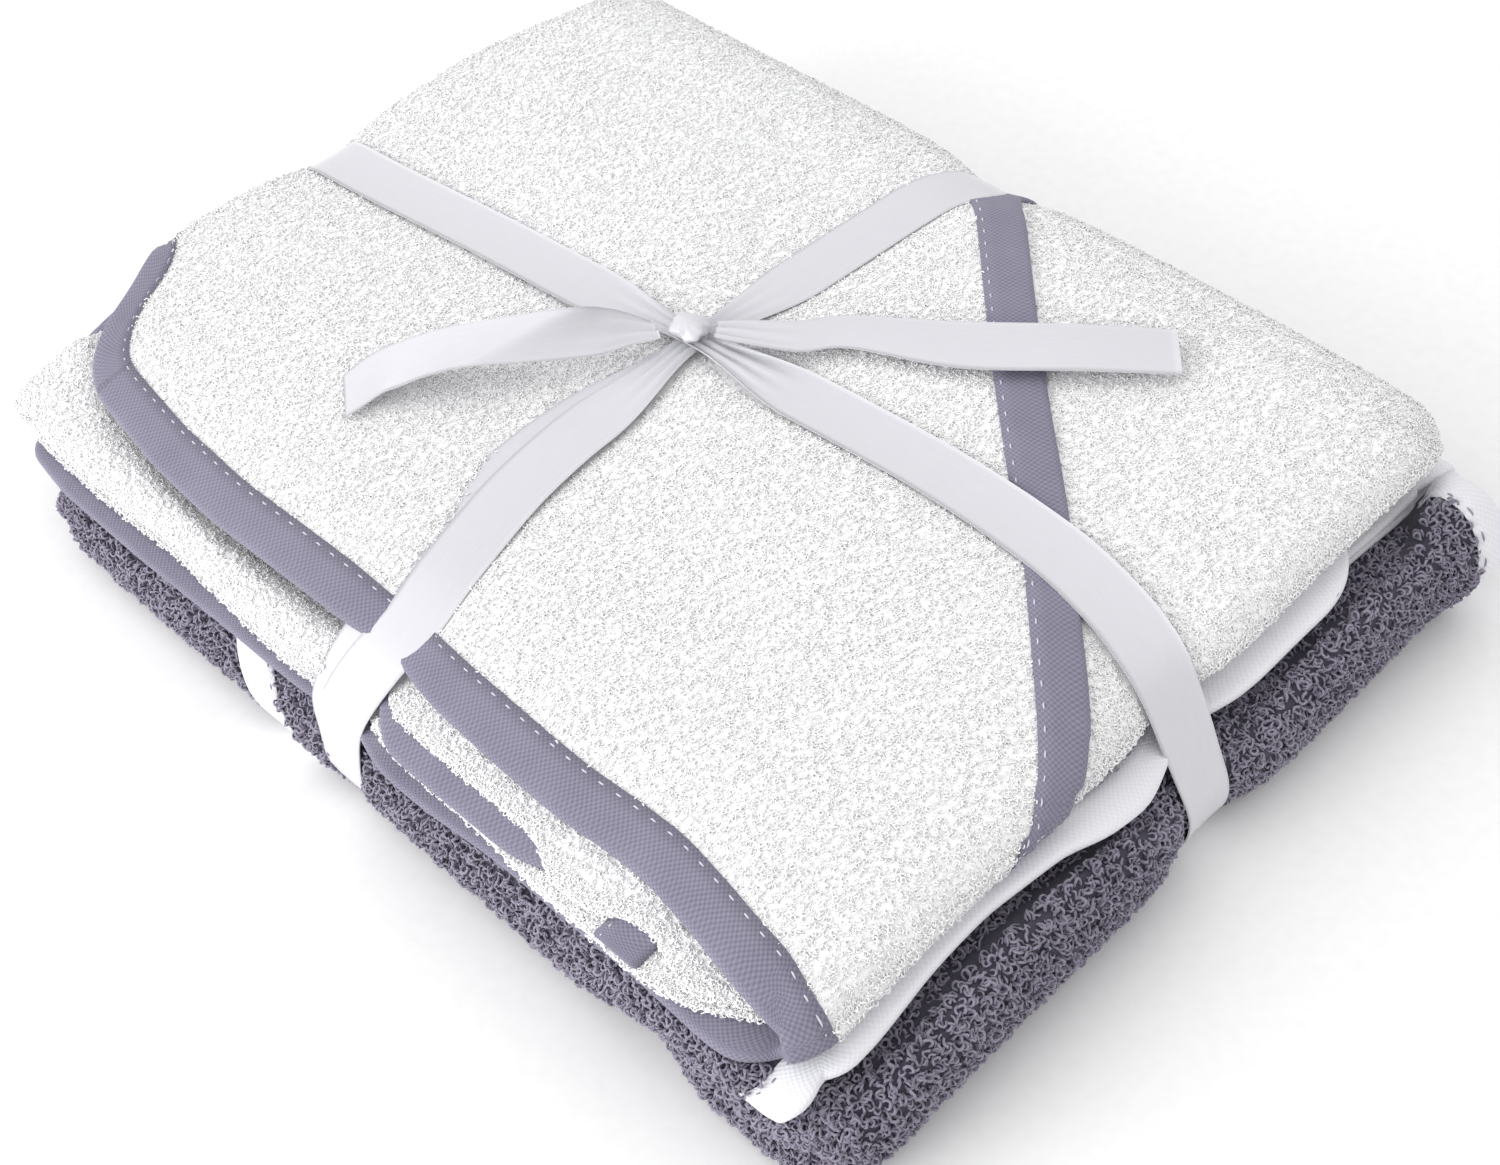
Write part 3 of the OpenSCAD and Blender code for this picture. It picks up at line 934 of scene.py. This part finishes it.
def woven(name, dark, light, pitch, bump):
    """Plain weave: warp and weft as crossed ribs on the cloth's own coordinates, with painted shade in the
    dips between them
    """
    made, shader = material_of(name, light, 0.8, 0.15)
    part = add(made, "ShaderNodeSeparateXYZ")
    join(made, on_cloth(made, (math.pi / pitch,) * 3), part.inputs["Vector"])
    warp = worked_out(made, "SINE", part.outputs["X"])
    weft = worked_out(made, "SINE", part.outputs["Y"])
    height = worked_out(made, "MULTIPLY_ADD", worked_out(made, "MULTIPLY", warp, weft), 0.5, 0.5)
    drift = worked_out(made, "MULTIPLY", noise_over(made, 90.0, 3.0), 0.35)
    # colour follows the weave's height: painted shade in the dips between threads, plus a random drift of
    # tone
    shade(made, shader, dark, light, worked_out(made, "MULTIPLY_ADD", height, 0.7, drift))
    raise_by(made, shader, height, bump, 0.00015)
    return made


def satin(name):
    """Smooth, glossy ribbon with fine lengthwise threads"""
    made, shader = material_of(name, (0.7, 0.7, 0.73), 0.27, 0.2)
    shader.inputs["Specular IOR Level"].default_value = 0.8
    threads = noise_over(made, 1.0, 3.0, on_cloth(made, (0.15, 6.0, 1.0)))
    shade(made, shader, (0.58, 0.58, 0.62), (0.69, 0.69, 0.73), threads)
    raise_by(made, shader, threads, 0.25, 0.0001)
    return made


def plain(name, color, roughness):
    made, shader = material_of(name, color, roughness)
    shade(made, shader, [0.92 * c for c in color], color, noise_over(made, 300.0, 4.0))
    return made


WEAVE_PITCH = 0.62    # millimetres between threads of the binding
WHITE_TERRY = terry("white terry", (0.96, 0.96, 0.965), (0.98, 0.98, 0.985), 0.1)
GREY_TERRY = terry("grey terry", (0.22, 0.2, 0.27), (0.365, 0.335, 0.425), 0.5)
# the grey towel's cloth and hood take the dark tone of the shade between their loops, far darker than the
# yarn: painted shade
GREY_GROUND_PAINTED_SHADE = terry("grey ground cloth", (0.06, 0.055, 0.08), (0.09, 0.083, 0.115), 0.5)
# each binding's darker colour is mostly painted shade for its weave's dips
GREY_BINDING = woven("grey binding", (0.14, 0.13, 0.185), (0.3, 0.285, 0.37), WEAVE_PITCH, 0.6)
WHITE_BINDING = woven("white binding", (0.74, 0.74, 0.79), (0.86, 0.86, 0.89), WEAVE_PITCH, 0.5)
PALE_THREAD = plain("pale thread", (0.66, 0.65, 0.72), 0.6)
GREY_THREAD = plain("grey thread", (0.3, 0.28, 0.36), 0.6)
SATIN_RIBBON = satin("satin ribbon")

# ---- camera, light, floor


LENS = 53.25
CAMERA_PLACE = (0.28646, -0.23552, 0.38929)
CAMERA_TURN = (42.131, 4.245, 45.063)
LIGHTS_AIM = (0, 0, 0.02)
# name, place, side of the square lamp in metres, watts
LIGHTS = (("key", (-0.75, -0.55, 1.0), 1.6, 4.5),
          ("top", (0.1, 0.5, 1.3), 1.6, 1.9),
          ("side", (-0.35, -1.2, 0.35), 1.0, 11.5))
SKY = 0.86
FLOOR_REACH = 3000.0


def make_camera():
    """The photograph's view: a 53 mm lens, about 0.5 m from the stack, held a little askew"""
    data = bpy.data.cameras.new("camera")
    data.lens = LENS
    data.clip_start = 0.01
    camera = bpy.data.objects.new("camera", data)
    camera.location = CAMERA_PLACE
    camera.rotation_euler = [math.radians(a) for a in CAMERA_TURN]
    bpy.context.scene.collection.objects.link(camera)
    bpy.context.scene.camera = camera


def soft_light(name, place, size, power):
    """A square lamp turned towards the stack"""
    data = bpy.data.lights.new(name, "AREA")
    data.size = size
    data.energy = power
    light = bpy.data.objects.new(name, data)
    light.location = place
    light.rotation_euler = (Vector(LIGHTS_AIM) - Vector(place)).to_track_quat("-Z", "Y").to_euler()
    bpy.context.scene.collection.objects.link(light)


def make_stage():
    """Even white surroundings, a pale floor and three lamps"""
    world = bpy.data.worlds.new("studio")
    world.use_nodes = True
    sky = world.node_tree.nodes["Background"]
    sky.inputs["Color"].default_value = (1.0, 1.0, 1.0, 1)
    sky.inputs["Strength"].default_value = SKY
    bpy.context.scene.world = world
    bpy.context.scene.view_settings.view_transform = "Standard"
    corners = FLOOR_REACH * np.array([[-1.0, -1.0, 0.0], [1.0, -1.0, 0.0], [1.0, 1.0, 0.0],
                                      [-1.0, 1.0, 0.0]])
    pale = plain("floor", (0.98, 0.98, 0.98), 0.9)
    floor = make_mesh("floor", corners, np.array([[0, 1, 2, 3]]), pale)
    for lamp in LIGHTS:
        soft_light(*lamp)


# ---- the pieces

make_camera()
make_stage()


def finish_piece(piece, body, slot, *nodes):
    """Which body a piece rides and the CAD nodes that it replaces. Its material slot is not used."""
    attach(piece, body)
    if nodes:
        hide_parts(*nodes)
    return piece


TOWEL_NODES = ("towel", "hood", "edge_binding", "hood_binding", "edge_stitching", "hood_stitching")


def make_towel(towel, ground_material, tape_material, thread):
    """A towel's cloth, hood, two bindings and two rows of stitches"""
    name = towel.name
    cloth = cloth_piece(towel, ground_material)
    hood = hood_piece(towel, ground_material)
    edge_tape = tape_piece(name + "_edge_tape", towel, on_edge, edge_heights,
                           np.linspace(0, EDGE_LENGTH, EDGE_RINGS, endpoint=False), True, tape_material)
    hood_tape = tape_piece(name + "_hood_tape", towel, on_hood, hood_heights,
                           np.linspace(HOOD_TAPE_START, HOOD_EDGE - HOOD_TAPE_START, HOOD_RINGS),
                           False, tape_material)
    edge_stitches = stitch_piece(name + "_edge_thread", towel, on_edge, edge_heights,
                                 0, EDGE_LENGTH, (1, -1), thread)
    hood_stitches = stitch_piece(name + "_hood_thread", towel, on_hood, hood_heights,
                                 HOOD_STITCH_START, HOOD_EDGE - HOOD_STITCH_START, (1,), thread)
    slots = {"white": ("white_terry", "grey_binding", "pale_thread"),
             "grey": ("grey_terry", "white_binding", "grey_thread")}[name]
    pieces = (cloth, hood, edge_tape, hood_tape, edge_stitches, hood_stitches)
    for number, (piece, node) in enumerate(zip(pieces, TOWEL_NODES)):
        finish_piece(piece, "stack", slots[number // 2], f"{name}_{node}")
    return pieces


WHITE = WhiteTowel("white", False)
GREY = GreyTowel("grey", True)
white_parts = make_towel(WHITE, WHITE_TERRY, GREY_BINDING, PALE_THREAD)
grey_parts = make_towel(GREY, GREY_GROUND_PAINTED_SHADE, WHITE_BINDING, GREY_THREAD)


def wrap_run(side_on, name, shift=None, lower=0.0, part=None):
    """One taut turn of ribbon round the stack, gathered where it goes into the knot, and its length.

    shift moves it sideways on top, lower sinks it there, and part says which of its points to keep.
    """
    loop = taut_loop([white_parts[0], grey_parts[0]], side_on)
    run, other, line = TURNS[side_on]
    top = ramp(loop[:, 1], 8, 36)
    ends = loop[:, 0].min(), loop[:, 0].max()
    under = np.interp(loop[:, 0], ends, (line(ends[0]), line(ends[1])))
    lateral = top * line(loop[:, 0]) + (1 - top) * under
    start = np.argmin(np.abs(loop[:, 0] - KNOT[run]) + 1000 * (loop[:, 1] < 30))
    order = (start + np.arange(len(loop) + 1)) % len(loop)
    loop, lateral = loop[order], lateral[order]
    if shift is not None:
        lateral = lateral + shift(loop[:, 0]) * ramp(loop[:, 1], 12, 34)
    length = float(np.linalg.norm(np.diff(loop, axis=0), axis=1).sum())
    away = np.abs(loop[:, 0] - KNOT[run]) + 500 * (loop[:, 1] < 25)
    gathered = 1 - ramp(away, 2, 34)
    middle = np.zeros((len(loop), 3))
    middle[:, run] = loop[:, 0]
    middle[:, other] = lateral
    middle[:, 2] = loop[:, 1] - lower * ramp(loop[:, 1], 25, 36) + 1.2 * gathered
    tangent = unit(np.gradient(middle, axis=0))
    across = np.zeros_like(middle)
    across[:, other] = 1
    across = unit(across - tangent * np.einsum("ij,ij->i", across, tangent)[:, None])
    narrowed = 1 - 0.12 * (1 - ramp(loop[:, 1], 14, 36))
    half = (RIBBON * (1 - gathered) + GATHERED * gathered) / 2 * narrowed
    if part is not None:
        keep = part(loop)
        middle, across, half, gathered = middle[keep], across[keep], half[keep], gathered[keep]
        length = float(np.linalg.norm(np.diff(middle, axis=0), axis=1).sum())

    def bow(t):
        folds = np.cos(t * math.pi * 3) * 0.7 * gathered[:, None]
        return folds - 0.25 * t**2

    low = middle - across * half[:, None]
    high = middle + across * half[:, None]
    return strip(name, low, high, bow), length


# a second strand shows beside the front left leg, a little lower
SECOND_STRAND = line_of([(-115, -2), (-98, -5), (-88, -7.5), (-60, -7), (0, -2), (12, 0)])
WRAPS = (wrap_run(0, "ribbon_lengthwise"), wrap_run(1, "ribbon_crosswise"),
         wrap_run(1, "ribbon_crosswise_under", SECOND_STRAND, 0.7,
                  lambda loop: (loop[:, 0] < 9) & (loop[:, 1] > 16)))
for piece, _ in WRAPS:
    finish_piece(piece, "stack", "satin_ribbon", "ribbon_wrap")

RIBBON_TREE = tree_of([piece for piece, _ in WRAPS])
BLOCKERS = tree_of([*white_parts[:4], *grey_parts[:4], *(piece for piece, _ in WRAPS)])
WHITE_PITCH = 0.95
GREY_PITCH = 1.3
white_anchors = loop_anchors(WHITE, WHITE_PITCH, 11, BLOCKERS, RIBBON_TREE)
grey_anchors = loop_anchors(GREY, GREY_PITCH, 12, BLOCKERS, RIBBON_TREE)
white_pile = pile_pieces(WHITE, white_anchors, WHITE_TERRY, "white_terry", 8000,
                         height=0.95, width=0.85, yarn=0.38, segments=4, lean=(0.8, 1.45))
grey_pile = pile_pieces(GREY, grey_anchors, GREY_TERRY, "grey_terry", 4100,
                        height=1.8, width=1.45, yarn=0.62, segments=8, lean=(0.4, 1.3))


def smooth_rows(rows, count):
    """A Catmull-Rom line through chosen rows of points"""
    rows = np.asarray(rows, float)
    ends = np.concatenate([[2 * rows[0] - rows[1]], rows, [2 * rows[-1] - rows[-2]]])
    t = np.linspace(0, len(rows) - 1 - 1e-6, count)
    i = t.astype(int)
    f = (t - i).reshape((-1,) + (1,) * (rows.ndim - 1))
    a, b, c, d = ends[i], ends[i + 1], ends[i + 2], ends[i + 3]
    cubic = (3 * b - a - 3 * c + d) * f**3
    return 0.5 * (2 * b + (c - a) * f + (2 * a - 5 * b + 4 * c - d) * f**2 + cubic)


def tail_piece(name, far, near, body, node):
    """A loose end between its two edge lines, pleated where it leaves the knot"""
    far = smooth_rows(far, TAIL_ROWS)
    near = smooth_rows(near, TAIL_ROWS)
    run = run_along((far + near) / 2)
    pleat = 1 - ramp(run, 0, 26)

    def bow(t):
        return np.cos(t * math.pi * 2.5) * 0.6 * pleat[:, None] + 0.2 * (1 - t**2)

    piece = strip(name, near, far, bow)
    finish_piece(piece, body, "satin_ribbon", node)
    return piece, run[-1]


# the two long edges of each loose end, from the knot outwards
LEFT_FAR = [(-24, 6, 51), (-28, 3, 53), (-30, -1, 56), (-32, -8, 60), (-42, -18, 58.5),
            (-54, -29, 55.5), (-62, -38, 52.5), (-66, -45, 50.3), (-67, -52, 48.6)]
LEFT_NEAR = [(-18, 4, 50.5), (-21, -2, 50.8), (-26, -13, 51.5), (-40, -34, 55), (-47, -42, 53.5),
             (-51, -47, 51.5), (-54, -50, 49.8), (-55, -56, 48.8), (-56, -60, 48)]
RIGHT_FAR = [(-12, 16, 50.5), (-8, 21, 50), (1, 30, 49), (8, 39, 48.5), (29, 54, 48.5),
             (51, 71, 48.8), (68, 84, 48)]
RIGHT_NEAR = [(-9, 12, 50.5), (-3, 15, 50), (8, 22, 49), (16, 31, 48.5), (39, 42, 48.5),
              (61, 59, 48.8), (78, 73, 48)]
TAILS = (tail_piece("ribbon_end_left", LEFT_FAR, LEFT_NEAR, "left_tail", "ribbon_tail_left"),
         tail_piece("ribbon_end_right", RIGHT_FAR, RIGHT_NEAR, "right_tail", "ribbon_tail_right"))


KNOT_RADII = (4.8, 4.2, 2.2)
KNOT_RISE = 1.8       # how far its middle stands above the place where the legs meet


def knot_piece():
    """A small tight lump with folds that run across it"""
    rows, columns = 22, 40
    a = np.linspace(0, math.pi, rows)[:, None]
    b = np.linspace(0, 2 * math.pi, columns, endpoint=False)[None, :]
    folds = 1 + 0.12 * np.sin(4 * b + 2.5 * a) * np.sin(a) + 0.05 * np.sin(9 * b - 4 * a)
    x = KNOT_RADII[0] * np.sin(a) * np.cos(b) * folds
    y = KNOT_RADII[1] * np.sin(a) * np.sin(b) * folds
    z = KNOT_RADII[2] * np.cos(a) + 0 * b
    points = np.stack([x, y, z], -1) + KNOT + np.array([0, 0, KNOT_RISE])
    faces = grid_faces(rows, columns, close_columns=True)
    return make_mesh("ribbon_knot_lump", points.reshape(-1, 3), faces, SATIN_RIBBON)


knot = knot_piece()
finish_piece(knot, "stack", "satin_ribbon", "ribbon_knot")
